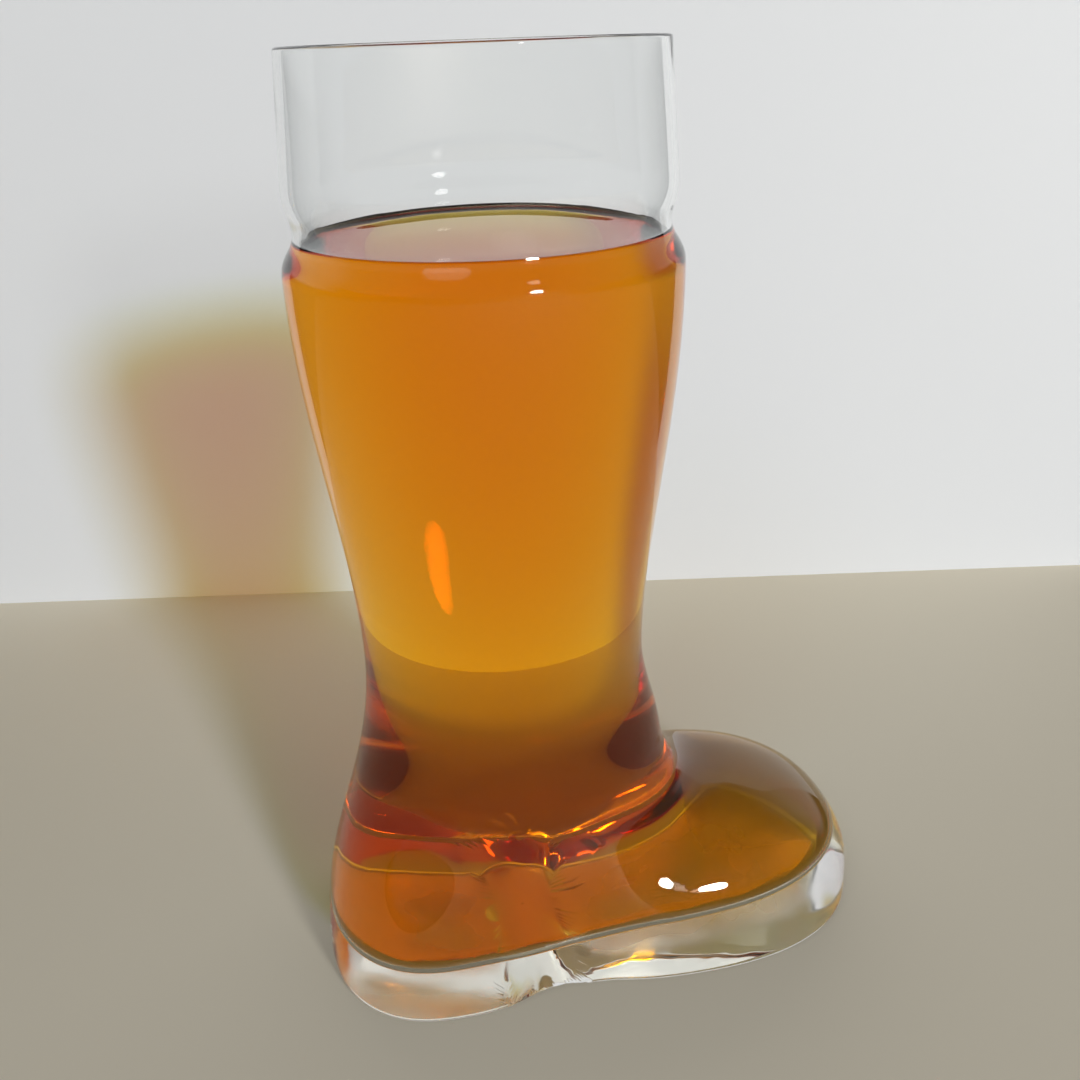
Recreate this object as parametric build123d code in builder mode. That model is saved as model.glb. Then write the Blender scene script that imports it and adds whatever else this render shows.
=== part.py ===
from build123d import *
from math import copysign, cos, pi, sin
import os

# Cuff and leg: radius and height of each station of the outline
height = 191.0
rim_radius = 35.0
cuff_radius = 36.5
cuff_height = 168.0
neck_radius = 35.2
neck_height = 159.6
shoulder_radius = 37.9
shoulder_height = 147.0
ankle_radius = 30.0
ankle_height = 71.0

# How far the outline runs on straight on each side of a station before it bends
cuff_reach = 4.0
neck_reach = 3.0
shoulder_reach = 7.0

# Leg and heel as one column, measured from the leg's axis; its ankle is slimmer across than along
ankle_pinch = 6.0
pinch_height = 50.0
pinch_reach = 55.0
heel_back = 44.2
heel_front = 10.2
heel_width = 34.5
heel_squareness = 2.5
instep_height = 44.0
instep_flare = 4.5
column_levels = 12
outline_points = 16

# Forefoot: an upright oval wall with half of an ellipsoid over it
toe_middle = 35.8
toe_length = 43.6
toe_width = 32.9
toe_wall_height = 7.0
toe_crown = 26.6

# Roundings and the arch under the waist of the sole
instep_blend = 8.0
sole_edge = 2.0
arch_middle = 2.0
arch_width = 20.0
arch_height = 2.5

# Glass thickness and the inside floor, which rises towards the toe
cuff_wall = 1.5
leg_wall = 2.0
sole_thickness = 9.8
floor_tilt = 3.2
floor_edge = 5.0
rim_round = 0.6

# Drink
drink_level = 157.5

# The toe points along +X, and the middle of the footprint is the origin
leg_axis = Axis(((heel_back - toe_middle - toe_length) / 2, 0, 0), (0, 0, 1))
leg_plane = Plane(leg_axis.position, x_dir=(-1, 0, 0), z_dir=(0, 1, 0))
sole_plane = Plane(leg_axis.position, x_dir=(-1, 0, 0), z_dir=(0, 0, 1))


def ease(share):
    """Half a cosine wave, from 1 at share 0 down to 0 at share 1, and level outside them."""
    return (1 + cos(pi * min(max(share, 0), 1))) / 2


def column_outline(level, inset):
    """Superellipse round the column at one level, the first of its points at the back."""
    calf = ease((shoulder_height - level) / (shoulder_height - ankle_height))
    leg = ankle_radius + (shoulder_radius - ankle_radius) * calf - inset
    spread = ease(level / ankle_height)
    back = leg + (heel_back - ankle_radius) * spread
    pinch = ankle_pinch * ease(abs(level - pinch_height) / pinch_reach)
    width = leg + (heel_width - ankle_radius) * spread - pinch
    power = 2 / (2 + (heel_squareness - 2) * spread)
    flare = instep_flare * ease((level - instep_height) / (ankle_height - instep_height))
    undercut = (ankle_radius + instep_flare - heel_front) * ease(level / instep_height)
    front = leg + flare - undercut
    middle = (back - front) / 2
    length = (back + front) / 2
    points = []
    for step in range(outline_points):
        angle = 2 * pi * step / outline_points
        along, across = (copysign(abs(v) ** power, v) for v in (cos(angle), sin(angle)))
        points.append((middle + length * along, width * across))
    return points


def cuff_form(cuff_inset, leg_inset):
    """Cuff and neck groove down to the shoulder, turned about the upright axis."""
    rim = (rim_radius - cuff_inset, height)
    cuff = (cuff_radius - cuff_inset, cuff_height)
    neck = neck_radius - cuff_inset
    shoulder = shoulder_radius - leg_inset
    with BuildPart() as leg:
        with BuildSketch(leg_plane):
            with BuildLine():
                edge = Line(rim, cuff)
                Bezier(
                    cuff,
                    edge @ 1 + (edge % 1) * cuff_reach,
                    (neck, neck_height + neck_reach),
                    (neck, neck_height),
                )
                Bezier(
                    (neck, neck_height),
                    (neck, neck_height - neck_reach),
                    (shoulder, shoulder_height + shoulder_reach),
                    (shoulder, shoulder_height),
                )
                Polyline((shoulder, shoulder_height), (0, shoulder_height), (0, height), rim)
            make_face()
        revolve(axis=leg_axis)
    return leg.part


def column_form(inset):
    """Leg and heel, from the shoulder's circle down to the squarish outline of the heel."""
    with BuildPart() as column:
        for step in range(column_levels):
            level = shoulder_height * step / column_levels
            with BuildSketch(sole_plane.offset(level)):
                with BuildLine():
                    Spline(*column_outline(level, inset), periodic=True)
                make_face()
        with BuildSketch(sole_plane.offset(shoulder_height)):
            Circle(shoulder_radius - inset)
        loft()
    return column.part


def crown_form(inset):
    """Upper half of an ellipsoid, standing on the origin."""
    width = toe_width - inset
    with BuildPart() as crown:
        Sphere(width, arc_size1=0, align=(Align.CENTER, Align.CENTER, Align.MIN))
        scale(by=((toe_length - inset) / width, 1, (toe_crown - inset) / width))
    return crown.part


def toe_form(inset):
    """Forefoot: the oval of the sole drawn up, and the crown over it."""
    with BuildPart() as toe:
        with BuildSketch(sole_plane):
            with Locations((-toe_middle, 0)):
                Ellipse(toe_length - inset, toe_width - inset)
        extrude(amount=toe_wall_height)
        with Locations(leg_axis.position + (toe_middle, 0, toe_wall_height)):
            add(crown_form(inset))
    return toe.part


def boot_form(cuff_inset, leg_inset):
    """Whole boot, solid, with the valley between leg and forefoot rounded."""
    with BuildPart() as boot:
        add(column_form(leg_inset))
        add(cuff_form(cuff_inset, leg_inset))
        add(toe_form(leg_inset))
        valley = boot.edges(Select.NEW).filter_by(lambda edge: edge.center().Z > sole_edge)
        fillet(valley, radius=instep_blend + leg_inset)
    return boot.part


with BuildPart() as hollow:
    add(boot_form(cuff_wall, leg_wall))
    floor_point = leg_axis.position + (0, 0, sole_thickness)
    split(bisect_by=Plane(floor_point).rotated((0, -floor_tilt, 0)), keep=Keep.TOP)
    floor = hollow.faces().sort_by(Axis.Z)[0]
    fillet(floor.edges(), radius=floor_edge)

with BuildPart() as boot_glass:
    add(boot_form(0, 0))
    sole = boot_glass.faces().sort_by(Axis.Z)[0]
    fillet(sole.edges(), radius=sole_edge)
    add(hollow.part, mode=Mode.SUBTRACT)
    rim = boot_glass.faces().sort_by(Axis.Z)[-1]
    fillet(rim.edges(), radius=rim_round)
    arch_radius = (arch_width**2 / 4 + arch_height**2) / (2 * arch_height)
    with BuildSketch(leg_plane):
        with Locations((-arch_middle, arch_height - arch_radius)):
            Circle(arch_radius)
    extrude(amount=2 * heel_width, both=True, mode=Mode.SUBTRACT)
boot_glass.part.label = "boot_glass"

with BuildPart() as drink:
    add(hollow.part)
    split(bisect_by=Plane.XY.offset(drink_level), keep=Keep.BOTTOM)
drink.part.label = "drink"

os.makedirs("parts", exist_ok=True)
for piece in (boot_glass, drink):
    export_step(piece.part, f"parts/{piece.part.label}.step")
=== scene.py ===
"""Looks of a boot-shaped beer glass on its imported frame: clear glass, amber drink and a plain studio."""

import logging
from dataclasses import dataclass, field, replace
from enum import Enum, IntEnum
from functools import cached_property
from math import pi, radians, tan
from typing import Any, Callable

import bpy
import numpy as np
from mathutils import Matrix, Vector


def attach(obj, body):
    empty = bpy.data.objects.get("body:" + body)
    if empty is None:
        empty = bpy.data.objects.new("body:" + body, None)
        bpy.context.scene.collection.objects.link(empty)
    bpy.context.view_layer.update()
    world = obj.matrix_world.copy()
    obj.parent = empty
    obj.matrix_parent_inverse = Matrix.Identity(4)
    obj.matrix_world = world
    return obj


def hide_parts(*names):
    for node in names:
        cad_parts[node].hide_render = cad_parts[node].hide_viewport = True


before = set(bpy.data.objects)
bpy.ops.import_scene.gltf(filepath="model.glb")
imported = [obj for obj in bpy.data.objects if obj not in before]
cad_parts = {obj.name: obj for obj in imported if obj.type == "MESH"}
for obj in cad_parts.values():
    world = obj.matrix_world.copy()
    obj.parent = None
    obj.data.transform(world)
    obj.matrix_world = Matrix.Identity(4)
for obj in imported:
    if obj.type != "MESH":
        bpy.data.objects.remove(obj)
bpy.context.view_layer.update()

LOG = logging.getLogger("boot_glass")
# Small amounts that keep a root or a quotient defined where its terms vanish
SHARE_GUARD = 1e-12
TOE_GUARD = 1e-9
SLOPE_GUARD = 1e-6
# Value of a noise texture, about, on average
CLOUD_MEAN = 0.5
Array = np.ndarray
Place = tuple[float, float, float]
Colour = tuple[float, float, float, float]


class Bend(Enum):
    """How two fields are joined by a round edge."""

    UNION = "valley between two bodies"
    CUT = "edge where a plane trims a body"


class Zone(IntEnum):
    """Parts of the glass with a finish of their own, numbered in the order of its materials."""

    DRY = 0
    WET = 1
    FOOT = 2
    LEG = 3


def ease(share: Array) -> Array:
    """Half a cosine wave, from 1 at share 0 down to 0 at share 1."""
    return (1 + np.cos(pi * np.clip(share, 0, 1))) / 2


def bezier(points: list[tuple[float, float]], count: int) -> Array:
    """Points of a cubic curve: each corner weighed by its Bernstein share.

    Args:
        points: four corners of the curve, radius and height.
        count: how many points to give.

    Returns:
        Array of count rows, radius and height.
    """
    t = np.linspace(0, 1, count)[:, None]
    a, b, c, d = (np.array(p) for p in points)
    return (1 - t) ** 3 * a + 3 * (1 - t) ** 2 * t * b + 3 * (1 - t) * t**2 * c + t**3 * d


def join(first: Array, second: Array, radius: float, bend: Bend) -> Array:
    """Two distance fields joined by an arc: within one radius of both, the distance is that to a circle.

    Args:
        first: distances to one surface.
        second: distances to the other surface.
        radius: radius of the arc.
        bend: valley of a union or edge of a cut.

    Returns:
        Distances to the joined surface.
    """
    if bend is Bend.CUT:
        return -join(-first, -second, radius, Bend.UNION)
    arc = np.hypot(np.maximum(radius - first, 0), np.maximum(radius - second, 0))
    return np.maximum(radius, np.minimum(first, second)) - arc


@dataclass(frozen=True)
class BootForm:
    """Body of the boot as a field of distances, measured from the leg's axis with X to the toe."""

    height: float = 0.191
    rim_radius: float = 0.035
    cuff_radius: float = 0.0365
    cuff_height: float = 0.168
    neck_radius: float = 0.0352
    neck_height: float = 0.1596
    shoulder_radius: float = 0.03787
    shoulder_height: float = 0.152
    ankle_radius: float = 0.030
    ankle_height: float = 0.071
    cuff_reach: float = 0.004
    neck_reach: float = 0.003
    shoulder_reach: float = 0.0035
    calf_reach: float = 0.030
    shin_reach: float = 0.027
    heel_back: float = 0.0442
    heel_front: float = 0.0102
    heel_width: float = 0.0345
    heel_squareness: float = 2.5
    instep_height: float = 0.044
    instep_flare: float = 0.0045
    toe_middle: float = 0.0358
    toe_length: float = 0.0436
    toe_width: float = 0.0329
    toe_wall_height: float = 0.007
    toe_crown: float = 0.0266
    toe_fullness: float = 2.35
    instep_blend: float = 0.015
    pinch: float = 0.006
    pinch_height: float = 0.050
    pinch_reach: float = 0.055
    cuff_inset: float = 0.0
    leg_inset: float = 0.0
    groove_points: int = 60
    calf_points: int = 200
    slope_step: float = 0.0002

    @property
    def axis_x(self) -> float:
        """Place of the leg's axis, with the middle of the footprint at zero."""
        return (self.heel_back - self.toe_middle - self.toe_length) / 2

    @cached_property
    def outline(self) -> Array:
        """Radius and height down the leg: straight cuff, groove, shoulder and a long S to the ankle."""
        rim = np.array((self.rim_radius - self.cuff_inset, self.height))
        cuff = np.array((self.cuff_radius - self.cuff_inset, self.cuff_height))
        down = (cuff - rim) / np.linalg.norm(cuff - rim)
        neck = self.neck_radius - self.cuff_inset
        shoulder = self.shoulder_radius - self.leg_inset
        ankle = self.ankle_radius - self.leg_inset
        runs = [
            np.stack([rim, cuff]),
            bezier([cuff, cuff + down * self.cuff_reach, (neck, self.neck_height + self.neck_reach),
                    (neck, self.neck_height)], self.groove_points),
            bezier([(neck, self.neck_height), (neck, self.neck_height - self.neck_reach),
                    (shoulder, self.shoulder_height + self.shoulder_reach),
                    (shoulder, self.shoulder_height)], self.groove_points),
            bezier([(shoulder, self.shoulder_height), (shoulder, self.shoulder_height - self.calf_reach),
                    (ankle, self.ankle_height + self.shin_reach),
                    (ankle, self.ankle_height)], self.calf_points),
        ]
        return np.concatenate(runs)

    def leg_radius(self, z: Array) -> Array:
        """Radius of the leg at each height, read between the outline's points."""
        return np.interp(z, self.outline[::-1, 1], self.outline[::-1, 0])

    def column_share(self, p: Array) -> Array:
        """How far out a point lies in the column: a superellipse at each level, 1 on its outline."""
        x, y, z = p[..., 0], p[..., 1], p[..., 2]
        spread = ease(z / self.ankle_height)
        leg = self.leg_radius(np.maximum(z, self.ankle_height))
        back = leg + (self.heel_back - self.ankle_radius) * spread
        pinch = self.pinch * ease(np.abs(z - self.pinch_height) / self.pinch_reach)
        width = leg + (self.heel_width - self.ankle_radius) * spread - pinch
        instep = self.ankle_radius + self.instep_flare - self.leg_inset
        above = (z - self.instep_height) / (self.ankle_height - self.instep_height)
        rise = (instep - self.heel_front + self.leg_inset) * ease(z / self.instep_height)
        front = np.where(z < self.instep_height, instep - rise, leg + self.instep_flare * ease(above))
        power = 2 + (self.heel_squareness - 2) * spread
        along = np.abs(x - (front - back) / 2) / ((front + back) / 2)
        across = np.abs(y) / width
        return (along**power + across**power + SHARE_GUARD) ** (1 / power)

    def column(self, p: Array) -> Array:
        """Distance to the column: its share past 1 over the steepness of that share."""
        share = self.column_share(p)
        slopes = [
            (self.column_share(p + shift) - self.column_share(p - shift)) / (2 * self.slope_step)
            for shift in np.eye(3) * self.slope_step
        ]
        return (share - 1) / np.sqrt(sum(slope**2 for slope in slopes) + SLOPE_GUARD)

    def toe(self, p: Array) -> Array:
        """Distance to the forefoot: an oval wall under half of a full ellipsoid, by the same quotient."""
        reach = np.array((self.toe_length, self.toe_width, self.toe_crown)) - self.leg_inset
        power = self.toe_fullness
        q = np.abs(p - np.array((self.toe_middle, 0, 0)))
        q[..., 2] = np.maximum(p[..., 2] - self.toe_wall_height, 0)
        share = ((q / reach) ** power).sum(axis=-1) ** (1 / power) + TOE_GUARD
        slope = np.linalg.norm((q / reach) ** (power - 1) / reach, axis=-1) * share ** (1 - power)
        return (share - 1) / (slope + SLOPE_GUARD)

    def body(self, p: Array) -> Array:
        """Distance to the whole boot, with the valley between leg and forefoot rounded."""
        return join(self.column(p), self.toe(p), self.instep_blend + self.leg_inset, Bend.UNION)


@dataclass(frozen=True)
class Wall:
    """One side of the glass: the boot's body trimmed by a floor, met by rays from the leg's axis."""

    form: BootForm
    floor_height: float
    floor_slope: float
    floor_edge: float
    hub_height: float
    arch_middle: float = 0.002
    arch_width: float = 0.020
    arch_height: float = 0.0
    grow: float = 0.0
    ripple: float = 0.0
    columns: int = 220
    gather: float = 0.45
    floor_shares: tuple[float, float] = (0.03, 0.88)
    floor_rows: int = 18
    edge_shares: tuple[float, float] = (0.9, 0.995)
    edge_rows: int = 9
    fan_rows: int = 88
    fan_crowding: float = 1.25
    top_angle: float = radians(55)
    fan_reach: float = 0.031
    turn_rows: int = 24
    leg_start: float = 0.076
    longest_ray: float = 0.12
    halvings: int = 34
    slope_step: float = 2e-6

    def waves(self, p: Array) -> Array:
        """Unevenness of blown glass: slow and broad waves, each a product of two sines, and fine streaks.

        A sine takes its waves round the leg times the turn, its radians a metre times the height, and
        a phase.
        """
        turn = np.arctan2(p[..., 1], p[..., 0])
        z = p[..., 2]
        slow = np.sin(3 * turn + 40 * z + 0.7) * np.sin(95 * z + 1.3 + np.sin(2 * turn))
        broad = np.sin(2 * turn - 25 * z + 2.1) * np.sin(48 * z + 0.4)
        streak = 0.12 * np.sin(17 * turn + 9 * z + 2 * np.sin(3 * turn))
        return self.ripple * (0.5 * slow + 0.4 * broad + streak)

    def surface(self, p: Array) -> Array:
        """Distance to this wall: the body cut by its floor with a round edge, and by any arch."""
        level = self.floor_height + self.floor_slope * p[..., 0]
        body = self.form.body(p) - self.grow + self.waves(p)
        below = (level - p[..., 2]) / np.hypot(1, self.floor_slope)
        trimmed = join(body, below - self.grow, self.floor_edge, Bend.CUT)
        if not self.arch_height:
            return trimmed
        radius = (self.arch_width**2 / 4 + self.arch_height**2) / (2 * self.arch_height)
        away = np.hypot(p[..., 0] - self.arch_middle, p[..., 2] - self.arch_height + radius)
        return np.maximum(trimmed, radius - away)

    def slopes(self, p: Array) -> Array:
        """Outward directions at points of the wall: the slope of its field, by central differences."""
        steps = np.eye(3) * self.slope_step
        slope = np.stack([self.surface(p + step) - self.surface(p - step) for step in steps], axis=-1)
        return slope / np.linalg.norm(slope, axis=-1, keepdims=True)

    def cast(self, start: Array, ray: Array, surface: Callable[[Array], Array]) -> Array:
        """Points where rays meet a surface, by halving the stretch in which its field changes sign.

        Args:
            start: where each ray starts, inside the surface.
            ray: direction of each ray, of any length.
            surface: field that is negative inside.

        Returns:
            The meeting points, in the shape of the rays.
        """
        ray = ray / np.linalg.norm(ray, axis=-1, keepdims=True)
        near = np.zeros(ray.shape[:-1])
        far = np.full(ray.shape[:-1], self.longest_ray)
        for _ in range(self.halvings):
            middle = (near + far) / 2
            inside = surface(start + middle[..., None] * ray) < 0
            near = np.where(inside, middle, near)
            far = np.where(inside, far, middle)
        return start + near[..., None] * ray

    @cached_property
    def turns(self) -> Array:
        """Angles of the columns round the leg's axis, drawn together towards the toe."""
        even = np.linspace(0, 2 * pi, self.columns, endpoint=False)
        return even - self.gather * np.sin(even)

    def grid(self, leg_levels: Array) -> Array:
        """Wall as rows of points from the middle of the floor up to the last level.

        Rays fan out from a hub over the floor, first to the floor, then up its edge and over the foot.
        Their start then climbs the axis while they level out, and up the leg they are level.

        Args:
            leg_levels: heights of the rows on the leg.

        Returns:
            Array of rows by columns by three.
        """
        flat = np.stack([np.cos(self.turns), np.sin(self.turns), np.zeros(self.columns)], axis=-1)
        along = flat + np.array((0, 0, 1)) * (self.floor_slope * flat[:, :1])
        centre = np.array((0, 0, self.floor_height))
        edge = self.cast(
            np.broadcast_to(centre, along.shape), along, lambda p: self.form.body(p) - self.grow
        )
        hub = np.array((0, 0, self.hub_height))
        floor_share = np.linspace(*self.floor_shares, self.floor_rows)
        edge_share = np.linspace(*self.edge_shares, self.edge_rows)
        share = np.concatenate([floor_share, edge_share])[:, None, None]
        floor_rays = centre + share * (edge - centre) - hub
        lowest = np.arctan2(edge[:, 2] - self.hub_height, np.hypot(edge[:, 0], edge[:, 1]))
        climb = np.linspace(0, 1, self.fan_rows)[:, None] ** self.fan_crowding
        angle = lowest + (self.top_angle - lowest) * climb
        fan_rays = np.cos(angle)[..., None] * flat + np.sin(angle)[..., None] * np.array((0, 0, 1))
        rays = np.concatenate([floor_rays, fan_rays])
        starts = np.broadcast_to(hub, rays.shape)
        turn_share = np.linspace(0, 1, self.turn_rows)[1:]
        level = self.hub_height + self.fan_reach * tan(self.top_angle)
        hit = level + (self.leg_start - level) * turn_share
        lean = np.tan(self.top_angle * (1 - turn_share))
        heights = np.concatenate([hit - self.fan_reach * lean, leg_levels])
        leans = np.concatenate([lean, np.zeros(len(leg_levels))])
        leg_starts = np.zeros((len(heights), self.columns, 3))
        leg_starts[..., 2] = heights[:, None]
        leg_rays = flat + leans[:, None, None] * np.array((0, 0, 1))
        return self.cast(
            np.concatenate([starts, leg_starts]), np.concatenate([rays, leg_rays]), self.surface
        )


def skin(name: str, rows: Array, slopes: Array, ends: Array, finishes: Array) -> bpy.types.Object:
    """Closed mesh over rows of points, each row a ring, with a point that closes each end.

    Args:
        name: name of the piece.
        rows: rows by columns by three, the faces outward to the right of a climbing row.
        slopes: outward direction at each of these points, or zero where the faces give it.
        ends: two points, before the first row and after the last.
        finishes: for each row, the number of the finish that the faces after it take.

    Returns:
        The new object, smooth, at the origin.
    """
    count, columns = rows.shape[:2]
    index = np.arange(count * columns).reshape(count, columns)
    ahead = np.roll(index, -1, axis=1)
    quads = np.stack([index[:-1], ahead[:-1], ahead[1:], index[1:]], axis=-1).reshape(-1, 4)
    first, last = count * columns, count * columns + 1
    start = np.stack([ahead[0], index[0], np.full(columns, first)], axis=-1)
    finish = np.stack([index[-1], ahead[-1], np.full(columns, last)], axis=-1)
    mesh = bpy.data.meshes.new(name)
    points = np.concatenate([rows.reshape(-1, 3), ends])
    mesh.from_pydata(points, [], quads.tolist() + start.tolist() + finish.tolist())
    mesh.polygons.foreach_set("use_smooth", np.ones(len(mesh.polygons), dtype=bool))
    numbers = np.repeat(np.concatenate([finishes[:-1], finishes[[0, -1]]]), columns)
    mesh.polygons.foreach_set("material_index", numbers.astype(np.int32))
    mesh.update()
    mesh.normals_split_custom_set_from_vertices(np.append(slopes.reshape(-1, 3), np.zeros((2, 3)), axis=0))
    piece = bpy.data.objects.new(name, mesh)
    bpy.context.scene.collection.objects.link(piece)
    return piece


class Value:
    """A number in a node tree, which sums and products turn into Math nodes."""

    def __init__(self, graph: "Graph", socket: bpy.types.NodeSocket) -> None:
        """Keep the socket and the tree it is in."""
        self.graph = graph
        self.socket = socket

    def _math(self, operation: str, first: Any, second: Any) -> "Value":
        """Math node of two values or numbers."""
        return self.graph.node("ShaderNodeMath", {"operation": operation}, {0: first, 1: second})

    def __add__(self, other: Any) -> "Value":
        """Sum."""
        return self._math("ADD", self, other)

    def __sub__(self, other: Any) -> "Value":
        """Difference."""
        return self._math("SUBTRACT", self, other)

    def __rsub__(self, other: Any) -> "Value":
        """Difference from a number."""
        return self._math("SUBTRACT", other, self)

    def __mul__(self, other: Any) -> "Value":
        """Product."""
        return self._math("MULTIPLY", self, other)

    def __truediv__(self, other: Any) -> "Value":
        """Quotient."""
        return self._math("DIVIDE", self, other)

    __radd__ = __add__
    __rmul__ = __mul__


class Graph:
    """Node tree of a material or the world, emptied and filled by calls."""

    def __init__(self, owner: bpy.types.ID) -> None:
        """Open the owner's tree and clear it."""
        owner.use_nodes = True
        self.tree = owner.node_tree
        self.tree.nodes.clear()

    def node(self, kind: str, settings: dict[str, Any], inputs: dict[Any, Any], output: Any = 0) -> Value:
        """One node with its settings, then its inputs.

        Args:
            kind: Blender's name of the node type.
            settings: attributes of the node; "stops" pairs the places and colours of a ramp's two ends.
            inputs: socket names or numbers, with values or links.
            output: name or number of the socket to give back.

        Returns:
            The chosen output.
        """
        made = self.tree.nodes.new(kind)
        for key, value in settings.items():
            if key == "stops":
                for stop, (place, colour) in zip(made.color_ramp.elements, value):
                    stop.position = place
                    stop.color = colour
            else:
                setattr(made, key, value)
        for key, value in inputs.items():
            if isinstance(value, Value):
                self.tree.links.new(value.socket, made.inputs[key])
            else:
                made.inputs[key].default_value = value
        return Value(self, made.outputs[output]) if made.outputs else Value(self, None)

    def lucid(self, shader: Value, shade: Colour) -> Value:
        """Shader whose shadow is clear: rays to the lamps go straight through, tinted by the shade."""
        straight = self.node("ShaderNodeBsdfTransparent", {}, {"Color": shade})
        shadow = self.node("ShaderNodeLightPath", {}, {}, "Is Shadow Ray")
        return self.node("ShaderNodeMixShader", {}, {0: shadow, 1: shader, 2: straight})


@dataclass(frozen=True)
class ClearGlass:
    """Clear blown glass: faint colour of iron, very shallow waves, dull where it is worn."""

    name: str = "clear_glass"
    clear: Colour = (0.995, 1.0, 0.998, 1)
    tinted: Colour = (0.985, 0.995, 0.99, 1)
    tint_span: tuple[float, float] = (0.3, 0.75)
    shade: Colour = (0.96, 0.96, 0.96, 1)
    sheen: float = 0.45
    refraction: float = 1.58
    wear: float = 0.35
    wave_size: float = 70.0
    wave_detail: float = 2.0
    wave_depth: float = 0.00006
    upright_scale: float = 0.22

    def tint(self, graph: Graph, place: Value, cloud: Value) -> Value:
        """Colour of the glass, from clear to the faint colour of iron with the cloud."""
        stops = zip(self.tint_span, (self.clear, self.tinted))
        return graph.node("ShaderNodeValToRGB", {"stops": stops}, {0: cloud})

    def material(self) -> bpy.types.Material:
        """Shader of the glass, rough only where the piece's wear says so."""
        made = bpy.data.materials.new(self.name)
        graph = Graph(made)
        place = graph.node("ShaderNodeTexCoord", {}, {}, "Object")
        drawn = graph.node("ShaderNodeMapping", {}, {"Vector": place, "Scale": (1, 1, self.upright_scale)})
        waves = {"Vector": drawn, "Scale": self.wave_size, "Detail": self.wave_detail}
        cloud = graph.node("ShaderNodeTexNoise", {}, waves)
        tint = self.tint(graph, place, cloud)
        relief = {"Strength": 1.0, "Distance": self.wave_depth, "Height": cloud}
        normal = graph.node("ShaderNodeBump", {}, relief)
        worn = graph.node("ShaderNodeAttribute", {"attribute_name": "wear"}, {}, "Fac")
        shader = graph.node(
            "ShaderNodeBsdfPrincipled",
            {},
            {
                "Base Color": tint,
                "Roughness": worn * cloud * (self.wear / CLOUD_MEAN),
                "IOR": self.refraction,
                "Transmission Weight": 1.0,
                "Specular Tint": (self.sheen, self.sheen, self.sheen, 1),
                "Normal": normal,
            },
        )
        graph.node("ShaderNodeOutputMaterial", {}, {"Surface": graph.lucid(shader, self.shade)})
        return made


@dataclass(frozen=True)
class AmberFootGlass(ClearGlass):
    """Inner wall under the drink: its colour turns amber-brown towards the foot, clear higher up."""

    name: str = "wet_glass"
    shade: Colour = (0.94, 0.94, 0.94, 1)
    sheen: float = 0.25
    # Amber-brown colour of the inner wall at the foot, fading to clear glass between the two heights below
    amber_tone: Colour = (0.80, 0.58, 0.35, 1)
    amber_height: float = 0.030
    clear_height: float = 0.065
    drift: float = 0.3

    def tint(self, graph: Graph, place: Value, cloud: Value) -> Value:
        """Colour by height, from amber-brown low down up to clear glass, shifted a little by the cloud."""
        height = graph.node("ShaderNodeSeparateXYZ", {}, {"Vector": place}, "Z")
        climb = (height - self.amber_height) / (self.clear_height - self.amber_height)
        stops = zip((0.0, 1.0), (self.amber_tone, self.clear))
        shifted = climb + (cloud - CLOUD_MEAN) * self.drift
        return graph.node("ShaderNodeValToRGB", {"stops": stops}, {0: shifted})


@dataclass(frozen=True)
class AmberDrink:
    """Clear amber liquid, coloured by how far light goes through it."""

    name: str = "amber_drink"
    pale: Colour = (1.0, 0.99, 0.96, 1)
    deep: Colour = (0.98, 0.96, 0.92, 1)
    sheen: float = 0.0
    refraction: float = 1.33
    amber_tone: Colour = (0.99, 0.8975, 0.0, 1)
    stain_density: float = 200.0
    shade: Colour = (0.84, 0.92, 0.76, 1)
    drift_size: float = 30.0
    drift_detail: float = 3.0
    drift_span: tuple[float, float] = (0.3, 0.8)

    def material(self) -> bpy.types.Material:
        """Shader of the liquid: clear surface over an even stain."""
        made = bpy.data.materials.new(self.name)
        graph = Graph(made)
        place = graph.node("ShaderNodeTexCoord", {}, {}, "Object")
        cloud = {"Vector": place, "Scale": self.drift_size, "Detail": self.drift_detail}
        drift = graph.node("ShaderNodeTexNoise", {}, cloud)
        stops = zip(self.drift_span, (self.pale, self.deep))
        tint = graph.node("ShaderNodeValToRGB", {"stops": stops}, {0: drift})
        shader = graph.node(
            "ShaderNodeBsdfPrincipled",
            {},
            {
                "Base Color": tint,
                "Roughness": 0.0,
                "IOR": self.refraction,
                "Transmission Weight": 1.0,
                "Specular Tint": (self.sheen, self.sheen, self.sheen, 1),
            },
        )
        volume = graph.node(
            "ShaderNodeVolumeAbsorption", {}, {"Color": self.amber_tone, "Density": self.stain_density}
        )
        graph.node(
            "ShaderNodeOutputMaterial", {}, {"Surface": graph.lucid(shader, self.shade), "Volume": volume}
        )
        return made


@dataclass(frozen=True)
class PlainFinish:
    """Matt paint of the studio, one even colour with a faint drift."""

    name: str
    light: Colour
    dark: Colour
    roughness: float = 0.9
    drift_size: float = 3.0
    drift_span: tuple[float, float] = (0.3, 0.7)
    one_sided: bool = False

    def material(self) -> bpy.types.Material:
        """Shader of the finish, clear from behind where it is one-sided."""
        made = bpy.data.materials.new(self.name)
        graph = Graph(made)
        place = graph.node("ShaderNodeTexCoord", {}, {}, "Object")
        drift = graph.node("ShaderNodeTexNoise", {}, {"Vector": place, "Scale": self.drift_size})
        stops = zip(self.drift_span, (self.light, self.dark))
        tint = graph.node("ShaderNodeValToRGB", {"stops": stops}, {0: drift})
        shader = graph.node(
            "ShaderNodeBsdfPrincipled", {}, {"Base Color": tint, "Roughness": self.roughness}
        )
        if self.one_sided:
            behind = graph.node("ShaderNodeNewGeometry", {}, {}, "Backfacing")
            nothing = graph.node("ShaderNodeBsdfTransparent", {}, {})
            shader = graph.node("ShaderNodeMixShader", {}, {0: behind, 1: shader, 2: nothing})
        graph.node("ShaderNodeOutputMaterial", {}, {"Surface": shader})
        return made


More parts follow.
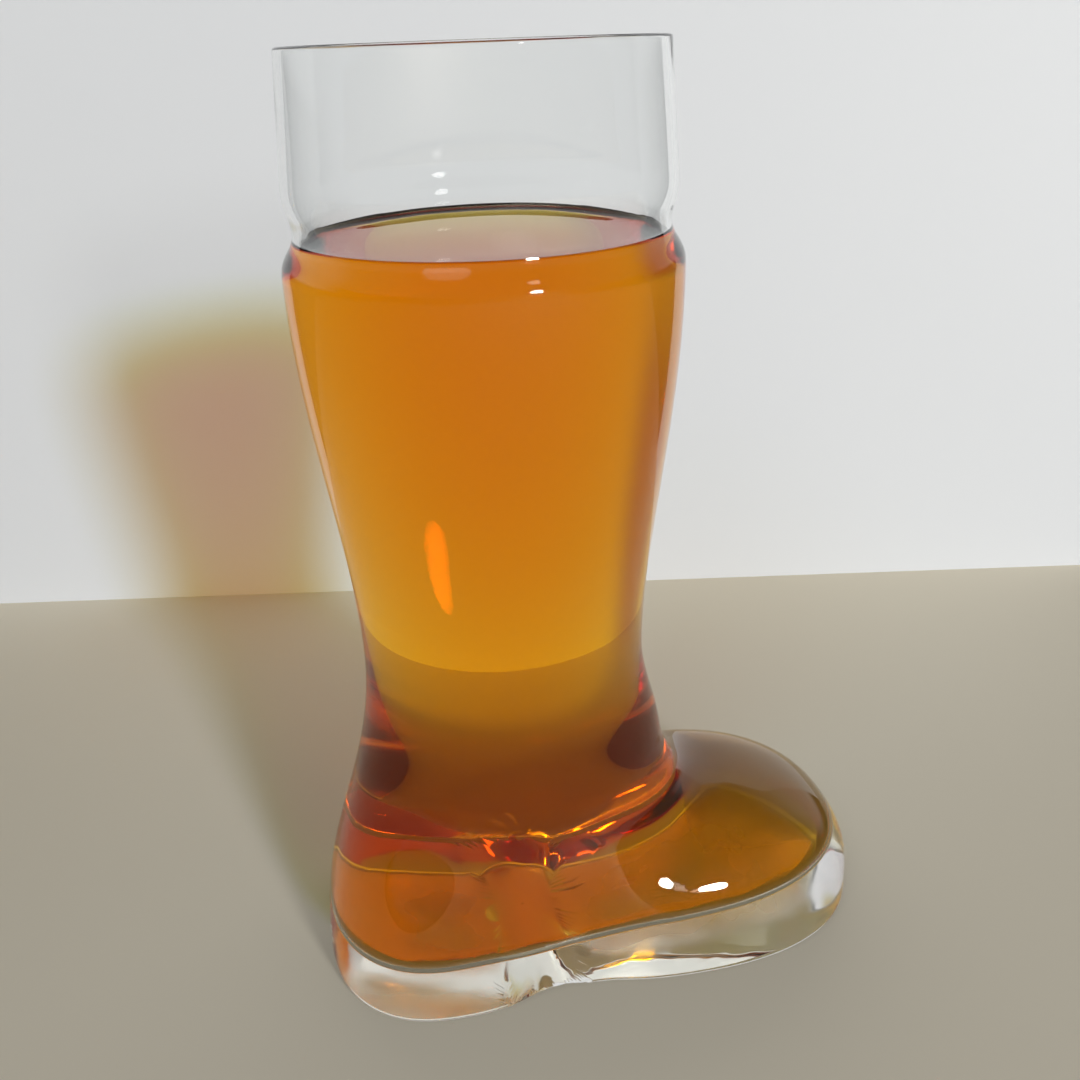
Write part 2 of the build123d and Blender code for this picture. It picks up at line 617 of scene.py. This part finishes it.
@dataclass
class BootGlass:
    """The glass: an outer wall, a fire-polished rim and an inner wall, in one closed shell."""

    form: BootForm = field(default_factory=BootForm)
    cuff_wall: float = 0.0015
    leg_wall: float = 0.002
    rim_round: float = 0.0006
    sole_edge: float = 0.002
    sole_thickness: float = 0.0098
    floor_tilt: float = radians(3.2)
    floor_edge: float = 0.007
    arch_height: float = 0.0025
    wear_margin: float = 0.013
    wear_fade: float = 0.016
    ripple: float = 0.00012
    drink_level: float = 0.1571
    foot_height: float = 0.045
    outer_hub: float = 0.006
    inner_hub: float = 0.019
    calf_top: float = 0.146
    calf_rows: int = 34
    groove_span: tuple[float, float] = (0.1468, 0.1715)
    groove_rows: int = 34
    cuff_start: float = 0.174
    cuff_rows: int = 7
    rim_points: int = 11
    dry: ClearGlass = ClearGlass()
    wet: ClearGlass = AmberFootGlass()
    foot: ClearGlass = ClearGlass("foot_glass", shade=(0.75, 0.75, 0.75, 1))
    leg: ClearGlass = ClearGlass("leg_glass", sheen=0.25, shade=(0.94, 0.94, 0.94, 1))

    @property
    def outside(self) -> Wall:
        """Outer wall, on the flat sole."""
        return Wall(
            self.form,
            floor_height=0.0,
            floor_slope=0.0,
            floor_edge=self.sole_edge,
            hub_height=self.outer_hub,
            arch_height=self.arch_height,
        )

    @property
    def inside(self) -> Wall:
        """Inner wall, with the floor that rises to the toe."""
        thinner = replace(self.form, cuff_inset=self.cuff_wall, leg_inset=self.leg_wall)
        return Wall(
            thinner,
            floor_height=self.sole_thickness,
            floor_slope=tan(self.floor_tilt),
            floor_edge=self.floor_edge,
            hub_height=self.inner_hub,
            ripple=self.ripple,
        )

    def levels(self, start: float, top: float) -> Array:
        """Heights of the rows on the leg from start to top, closer together at the neck groove."""
        calf = np.linspace(start, self.calf_top, self.calf_rows)[1:]
        groove = np.linspace(*self.groove_span, self.groove_rows)
        cuff = np.linspace(self.cuff_start, self.form.height - self.rim_round, self.cuff_rows)
        every = np.concatenate([calf, groove, cuff])
        return every[every <= top]

    def build(self) -> bpy.types.Object:
        """Shell of both walls, with half an ellipse over the rim between them."""
        outer = self.outside.grid(self.levels(self.outside.leg_start, self.form.height))
        inner = self.inside.grid(self.levels(self.inside.leg_start, self.form.height))
        angle = np.linspace(0, pi, self.rim_points)[1:-1, None, None]
        middle = (outer[-1] + inner[-1]) / 2
        half = (outer[-1] - inner[-1]) / 2
        crest = np.array((0, 0, self.rim_round))
        rim = middle + half * np.cos(angle) + crest * np.sin(angle)
        rows = np.concatenate([outer, rim, inner[::-1]])
        slopes = np.concatenate(
            [self.outside.slopes(outer), np.zeros_like(rim), -self.inside.slopes(inner)[::-1]]
        )
        ends = np.stack([outer[0].mean(axis=0), inner[0].mean(axis=0)])
        shift = np.array((self.form.axis_x, 0, 0))
        height = rows[..., 2].mean(axis=1)
        outside = np.arange(len(rows)) < len(outer)
        low = height < self.drink_level
        kinds = [low & ~outside, outside & (height < self.foot_height), low]
        zones = np.select(kinds, [Zone.WET, Zone.FOOT, Zone.LEG], Zone.DRY)
        piece = skin("boot_shell", rows + shift, slopes, ends + shift, zones)
        depth = -self.form.body(rows)
        fade = 1 - ease((depth - self.wear_margin) / self.wear_fade)
        worn = fade * outside[:, None] * (rows[..., 2] < self.sole_edge)
        # The end points come last: the middle of the sole is worn, that of the inside floor isn't
        wear = piece.data.attributes.new("wear", "FLOAT", "POINT")
        wear.data.foreach_set("value", np.append(worn, (1, 0)).astype(np.float32))
        for finish in (self.dry, self.wet, self.foot, self.leg):
            piece.data.materials.append(finish.material())
        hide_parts("boot_glass")
        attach(piece, "root")
        return piece


@dataclass
class Drink:
    """The liquid: it wets the inner wall and climbs it a little at its surface."""

    glass: BootGlass
    climb: float = 0.0012
    climb_width: float = 0.0012
    overlap: float = 0.00012
    edge_gap: float = 0.0003
    curl_width: float = 0.005
    curl_rows: int = 18
    level_span: tuple[float, float] = (0.006, 0.031)
    level_rows: int = 12
    finish: AmberDrink = AmberDrink()

    def build(self) -> bpy.types.Object:
        """Body of the liquid, a hair into the glass, under a level surface with a curled edge.

        The surface's height falls from its edge as the climb times an exponential of the distance inward.
        """
        wall = replace(self.glass.inside, grow=self.overlap)
        level = self.glass.drink_level
        crest = level + self.climb
        heights = self.glass.levels(wall.leg_start, crest - self.edge_gap)
        body = wall.grid(np.append(heights, crest))
        edge = body[-1]
        radius = np.hypot(edge[:, 0], edge[:, 1])
        curl = np.linspace(0, self.curl_width, self.curl_rows)[1:]
        inward = np.concatenate([curl, np.linspace(*self.level_span, self.level_rows)])[:, None]
        share = 1 - inward / radius
        surface = edge * share[..., None]
        surface[..., 2] = level + self.climb * np.exp(-inward / self.climb_width)
        rows = np.concatenate([body, surface])
        slopes = np.concatenate([wall.slopes(body[:-1]), np.zeros_like(rows[len(body) - 1:])])
        ends = np.stack([body[0].mean(axis=0), np.array((0, 0, level))])
        shift = np.array((self.glass.form.axis_x, 0, 0))
        piece = skin("drink_body", rows + shift, slopes, ends + shift, np.zeros(len(rows)))
        piece.data.materials.append(self.finish.material())
        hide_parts("drink")
        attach(piece, "root")
        return piece


@dataclass(frozen=True)
class Lamp:
    """Round soft lamp: its place and the point it faces, in the camera's heading, diameter and watts."""

    name: str
    place: Place
    aim: Place
    size: float
    power: float
    colour: tuple[float, float, float]
    mirrored: bool

    def build(self, turn: Matrix) -> None:
        """Put the lamp in the scene; one that isn't mirrored doesn't show in shiny surfaces.

        Args:
            turn: turn and shift of the stage with the camera's heading.
        """
        data = bpy.data.lights.new(self.name, "AREA")
        data.shape = "DISK"
        data.size = self.size
        data.energy = self.power
        data.color = self.colour
        made = bpy.data.objects.new(self.name, data)
        spot = turn @ Vector(self.place)
        away = spot - turn @ Vector(self.aim)
        made.matrix_world = Matrix.Translation(spot) @ away.to_track_quat("Z", "Y").to_matrix().to_4x4()
        made.visible_glossy = self.mirrored
        bpy.context.scene.collection.objects.link(made)


@dataclass(frozen=True)
class Sky:
    """World round the studio: a dim light, and a pale backdrop that goes on where the sheets end.

    Heights and ends are parts of a direction of length 1, upwards and along +Y.
    """

    light: Colour = (0.9, 0.93, 1.0, 1)
    light_strength: float = 0.04
    horizon: Colour = (0.62, 0.63, 0.64, 1)
    zenith: float = 0.45
    zenith_heights: tuple[float, float] = (0.5, 0.75)
    dusk: float = 0.5
    dusk_heights: tuple[float, float] = (0.02, 0.1)
    dusk_ends: tuple[float, float] = (0.3, 0.05)

    def ramp(self, graph: Graph, value: Value, span: tuple[float, float]) -> Value:
        """Value drawn out so that the span's two ends become 0 and 1."""
        return graph.node(
            "ShaderNodeMapRange", {}, {"Value": value, "From Min": span[0], "From Max": span[1]}
        )

    def build(self) -> None:
        """World shader: dim as a light, pale to the camera and through glass, and partly so in mirrors.

        The pale part is darker overhead, and towards +Y also from the horizon down. Mirrors show it
        only towards +Y, over the horizon and not overhead.
        """
        world = bpy.data.worlds.new("studio")
        bpy.context.scene.world = world
        graph = Graph(world)
        dim = {"Color": self.light, "Strength": self.light_strength}
        light = graph.node("ShaderNodeBackground", {}, dim)
        pale = graph.node("ShaderNodeBackground", {}, {"Color": self.horizon, "Strength": 1.0})
        way = graph.node("ShaderNodeTexCoord", {}, {}, "Generated")
        height = graph.node("ShaderNodeSeparateXYZ", {}, {"Vector": way}, "Z")
        ahead = graph.node("ShaderNodeSeparateXYZ", {}, {"Vector": way}, "Y")
        up = self.ramp(graph, height, self.zenith_heights)
        over = self.ramp(graph, height, self.dusk_heights)
        near = self.ramp(graph, ahead, self.dusk_ends)
        sky = (1 - (1 - near) * (1 - over) * self.dusk) * (1 - up) + up * self.zenith
        camera = graph.node("ShaderNodeLightPath", {}, {}, "Is Camera Ray")
        through = graph.node("ShaderNodeLightPath", {}, {}, "Is Transmission Ray")
        mirrored = graph.node("ShaderNodeLightPath", {}, {}, "Is Glossy Ray")
        share = (camera + through) * sky + mirrored * over * (1 - near) * (1 - up)
        seen = graph.node("ShaderNodeMixShader", {}, {0: share, 1: light, 2: pale})
        graph.node("ShaderNodeOutputWorld", {}, {"Surface": seen})


@dataclass
class Studio:
    """Plain pale floor and backdrop, soft lights, and the camera at the photograph's angle."""

    axis_x: float
    camera_offset: Place = (-0.0308, -0.2242, 0.192)
    heading: float = radians(10.0)
    pitch: float = radians(23.317)
    roll: float = radians(2.05)
    focal_pixels: float = 1180.0
    picture_pixels: float = 1080.0
    sensor: float = 36.0
    near_clip: float = 0.01
    floor_reach: float = 1.6
    floor_depth: float = 0.178
    floor_height: float = -0.0004
    backdrop_ends: tuple[float, float] = (-0.225, 0.222)
    backdrop_height: float = 0.216
    floor_finish: PlainFinish = PlainFinish(
        "pale_floor", light=(0.78, 0.715, 0.575, 1), dark=(0.75, 0.685, 0.545, 1)
    )
    backdrop_finish: PlainFinish = PlainFinish(
        "pale_backdrop", light=(0.785, 0.805, 0.83, 1), dark=(0.755, 0.775, 0.80, 1), one_sided=True
    )
    lamps: tuple[Lamp, ...] = (
        Lamp(
            "key", place=(0.97, -1.68, 0.72), aim=(0, 0, 0.09), size=0.28, power=34.5,
            colour=(0.985, 0.985, 0.985), mirrored=True,
        ),
        Lamp(
            "fill", place=(-0.5, -1.2, 1.3), aim=(0, 0, 0.05), size=0.8, power=5.0,
            colour=(0.97, 0.98, 1.0), mirrored=False,
        ),
    )
    sky: Sky = Sky()

    @property
    def turn(self) -> Matrix:
        """Turn of the floor and lights with the camera's heading, about the leg's axis."""
        return Matrix.Translation((self.axis_x, 0, 0)) @ Matrix.Rotation(-self.heading, 4, "Z")

    def sheet(self, name: str, corners: list[Place], finish: PlainFinish) -> None:
        """One flat sheet of the stage from its corners, in the camera's heading."""
        mesh = bpy.data.meshes.new(name)
        mesh.from_pydata([self.turn @ Vector(c) for c in corners], [], [list(range(len(corners)))])
        made = bpy.data.objects.new(name, mesh)
        made.data.materials.append(finish.material())
        bpy.context.scene.collection.objects.link(made)

    def build(self) -> None:
        """Floor, backdrop, lights, world and camera."""
        low, back, top = self.floor_height, self.floor_depth, self.backdrop_height
        start, end = self.backdrop_ends
        far = self.floor_reach
        floor = [(-far, -far, low), (far, -far, low), (far, back, low), (-far, back, low)]
        backdrop = [(start, back, low), (end, back, low), (end, back, top), (start, back, top)]
        self.sheet("floor", floor, self.floor_finish)
        self.sheet("backdrop", backdrop, self.backdrop_finish)
        for lamp in self.lamps:
            lamp.build(self.turn)
        self.sky.build()
        self.camera()

    def camera(self) -> None:
        """Camera with the photograph's lens, place, pitch and roll."""
        data = bpy.data.cameras.new("camera")
        data.sensor_width = self.sensor
        data.lens = self.focal_pixels / self.picture_pixels * self.sensor
        data.clip_start = self.near_clip
        made = bpy.data.objects.new("camera", data)
        x, y, z = self.camera_offset
        made.matrix_world = (
            Matrix.Translation((x + self.axis_x, y, z))
            @ Matrix.Rotation(-self.heading, 4, "Z")
            @ Matrix.Rotation(pi / 2 - self.pitch, 4, "X")
            @ Matrix.Rotation(-self.roll, 4, "Z")
        )
        bpy.context.scene.collection.objects.link(made)
        bpy.context.scene.camera = made


def settle_light(deep: int = 32, shallow: int = 16) -> None:
    """Plain view, no caustics, and bounces enough for light to pass both walls and the drink.

    Args:
        deep: bounces in all, and through glass.
        shallow: bounces off shiny surfaces, and straight through clear ones.
    """
    scene = bpy.context.scene
    scene.view_settings.view_transform = "Standard"
    scene.cycles.caustics_refractive = False
    scene.cycles.caustics_reflective = False
    scene.cycles.max_bounces = deep
    scene.cycles.transmission_bounces = deep
    scene.cycles.glossy_bounces = shallow
    scene.cycles.transparent_max_bounces = shallow


def main() -> None:
    """Build the glass, the drink and the studio."""
    logging.basicConfig(level=logging.INFO, format="%(name)s %(message)s")
    glass = BootGlass()
    for piece in (glass.build(), Drink(glass).build()):
        LOG.info("%s: %d faces", piece.name, len(piece.data.polygons))
    Studio(glass.form.axis_x).build()
    settle_light()


if __name__ == "__main__":
    main()
